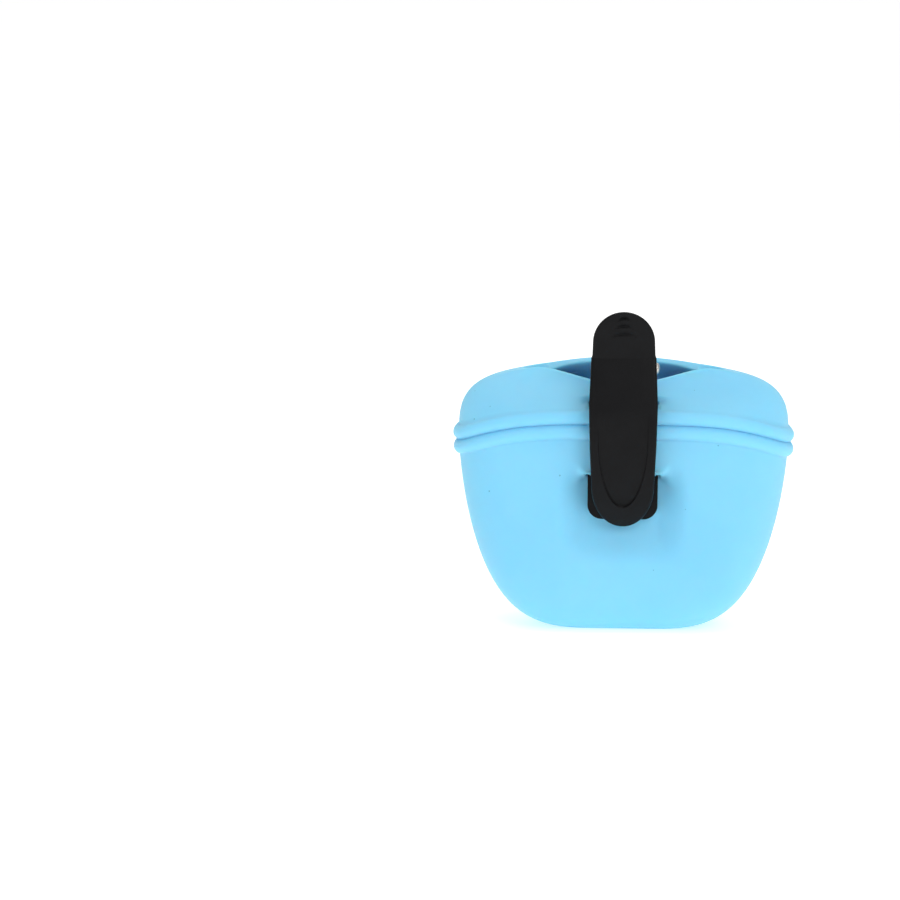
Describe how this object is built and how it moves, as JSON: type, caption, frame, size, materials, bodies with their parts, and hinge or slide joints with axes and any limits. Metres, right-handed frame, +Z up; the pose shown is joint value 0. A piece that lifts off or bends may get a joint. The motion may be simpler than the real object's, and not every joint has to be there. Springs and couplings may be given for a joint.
{
  "type": "treat pouch",
  "caption": "Soft moulded silicone treat pouch with an open magnetic mouth, two ribs all round and a spring belt clip threaded through the rear wall.",
  "frame": {"origin": "middle of the flat base, on the pouch's centre plane", "axes": "+Z up, +Y towards the clip at the rear, +X to the right as seen from the front"},
  "size_m": [0.133, 0.0602, 0.1282],
  "materials": {
    "silicone": "matte",
    "magnet": "satin",
    "black_plastic": "satin",
    "steel": "satin"
  },
  "bodies": {
    "pouch": {"pouch_body": "silicone", "rear_magnet": "magnet", "clip_base": "black_plastic", "hinge_pin": "steel", "torsion_spring": "steel"},
    "lip": {"front_lip": "silicone", "front_magnet": "magnet"},
    "lever": {"clip_lever": "black_plastic"}
  },
  "joints": [
    {"name": "lip_flex", "type": "hinge", "parent": "pouch", "child": "lip", "pos_m": [0, -0.0222, 0.04], "axis": [1, 0, 0], "range_deg": [-18, 15], "stiffness_Nm_per_rad": 0.2},
    {"name": "clip_open", "type": "hinge", "parent": "pouch", "child": "lever", "pos_m": [0, 0.0246, 0.1055], "axis": [1, 0, 0], "range_deg": [0, 25], "stiffness_Nm_per_rad": 0.3, "springref_deg": -28.65, "deforming": ["torsion_spring"]}
  ]
}
